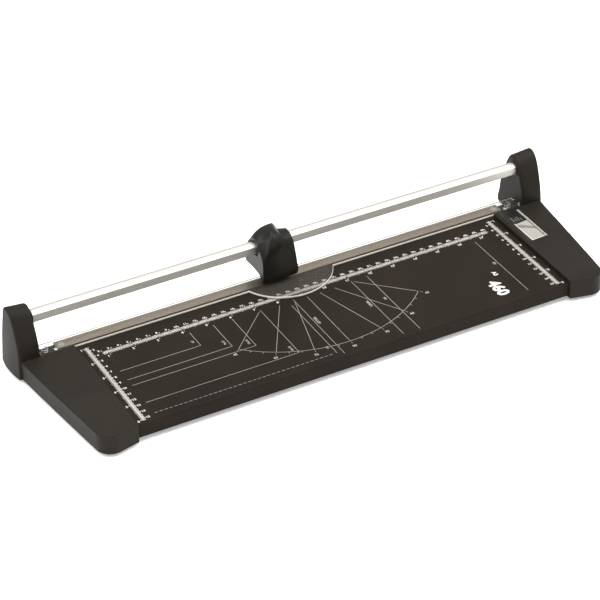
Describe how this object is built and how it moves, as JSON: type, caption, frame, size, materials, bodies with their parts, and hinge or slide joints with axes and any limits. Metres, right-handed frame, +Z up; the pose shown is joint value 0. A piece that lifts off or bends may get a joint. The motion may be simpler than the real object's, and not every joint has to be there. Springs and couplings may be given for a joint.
{
  "type": "rotary paper trimmer",
  "caption": "Desktop paper trimmer with a flat scaled table, two end caps with posts, a guide rail, a sliding rotary cutter head and a clear clamp strip.",
  "frame": {"origin": "under the middle of the object's bounding box, on the surface that the rubber feet stand on", "axes": "+X along the cut to the user's right, +Y away from the user towards the rail, +Z up"},
  "size_m": [0.58, 0.1962, 0.0761],
  "materials": {
    "cap_plastic": "fine moulded texture, satin black",
    "table_paint": "fine black powder coat, printed with off-white scales",
    "ground_steel": "ground lengthways",
    "zinc_steel": "zinc plated",
    "rail_aluminium": "drawn and clear anodised",
    "clear_plastic": "clear polycarbonate",
    "hood_plastic": "satin black moulding",
    "carriage_plastic": "dark engineering plastic",
    "liner_plastic": "white acetal",
    "blade_steel": "hardened, ground edge",
    "foot_rubber": "matt black",
    "roller_rubber": "smooth black",
    "label_film": "printed self-adhesive film"
  },
  "bodies": {
    "base": {"table_plate": "table_paint", "left_end_cap": "cap_plastic", "right_end_cap": "cap_plastic", "bed_blade": "ground_steel", "base_channel": "zinc_steel", "channel_screws": "zinc_steel", "bed_blade_screws": "zinc_steel", "plate_screws": "zinc_steel", "foot_front_left": "foot_rubber", "foot_front_right": "foot_rubber", "foot_rear_left": "foot_rubber", "foot_rear_right": "foot_rubber", "cap_label": "label_film", "strip_guide_pins": "zinc_steel", "left_strip_spring": "zinc_steel", "right_strip_spring": "zinc_steel", "guide_rail": "rail_aluminium", "left_rail_collar": "cap_plastic", "right_rail_collar": "cap_plastic", "left_rail_socket": "carriage_plastic", "right_rail_socket": "carriage_plastic", "rail_screws": "zinc_steel"},
    "clamp_strip": {"clamp_strip": "clear_plastic"},
    "cutter_head": {"head_hood": "hood_plastic", "carriage": "carriage_plastic", "left_glide_liner": "liner_plastic", "right_glide_liner": "liner_plastic", "thrust_washer": "zinc_steel", "blade_spring": "zinc_steel", "blade_axle": "zinc_steel", "axle_nut": "zinc_steel", "roller_pins": "zinc_steel", "hood_screws": "zinc_steel"},
    "blade": {"blade_hub": "carriage_plastic", "blade_disc": "blade_steel", "blade_retainer": "zinc_steel"},
    "left_roller": {"left_press_roller": "roller_rubber"},
    "right_roller": {"right_press_roller": "roller_rubber"}
  },
  "joints": [
    {"name": "head_slide", "type": "slide", "parent": "base", "child": "cutter_head", "axis": [1, 0, 0], "range_m": [-0.2312, 0.2547]},
    {"name": "blade_spin", "type": "hinge", "parent": "cutter_head", "child": "blade", "pos_m": [-0.01175, 0.06725, 0.0324], "axis": [0, 1, 0], "continuous": true},
    {"name": "left_roller_spin", "type": "hinge", "parent": "cutter_head", "child": "left_roller", "pos_m": [-0.02025, 0.05325, 0.0282], "axis": [0, 1, 0], "continuous": true},
    {"name": "right_roller_spin", "type": "hinge", "parent": "cutter_head", "child": "right_roller", "pos_m": [-0.00325, 0.05325, 0.0282], "axis": [0, 1, 0], "continuous": true},
    {"name": "strip_press", "type": "slide", "parent": "base", "child": "clamp_strip", "axis": [0, 0, -1], "range_m": [0, 0.001], "stiffness_N_per_m": 300, "springref_m": -0.003, "deforming": ["left_strip_spring", "right_strip_spring"]}
  ],
  "couplings": [
    {"joint": "blade_spin", "follows": "head_slide", "rad_per_m": 80.645},
    {"joint": "left_roller_spin", "follows": "head_slide", "rad_per_m": 200},
    {"joint": "right_roller_spin", "follows": "head_slide", "rad_per_m": 200}
  ]
}
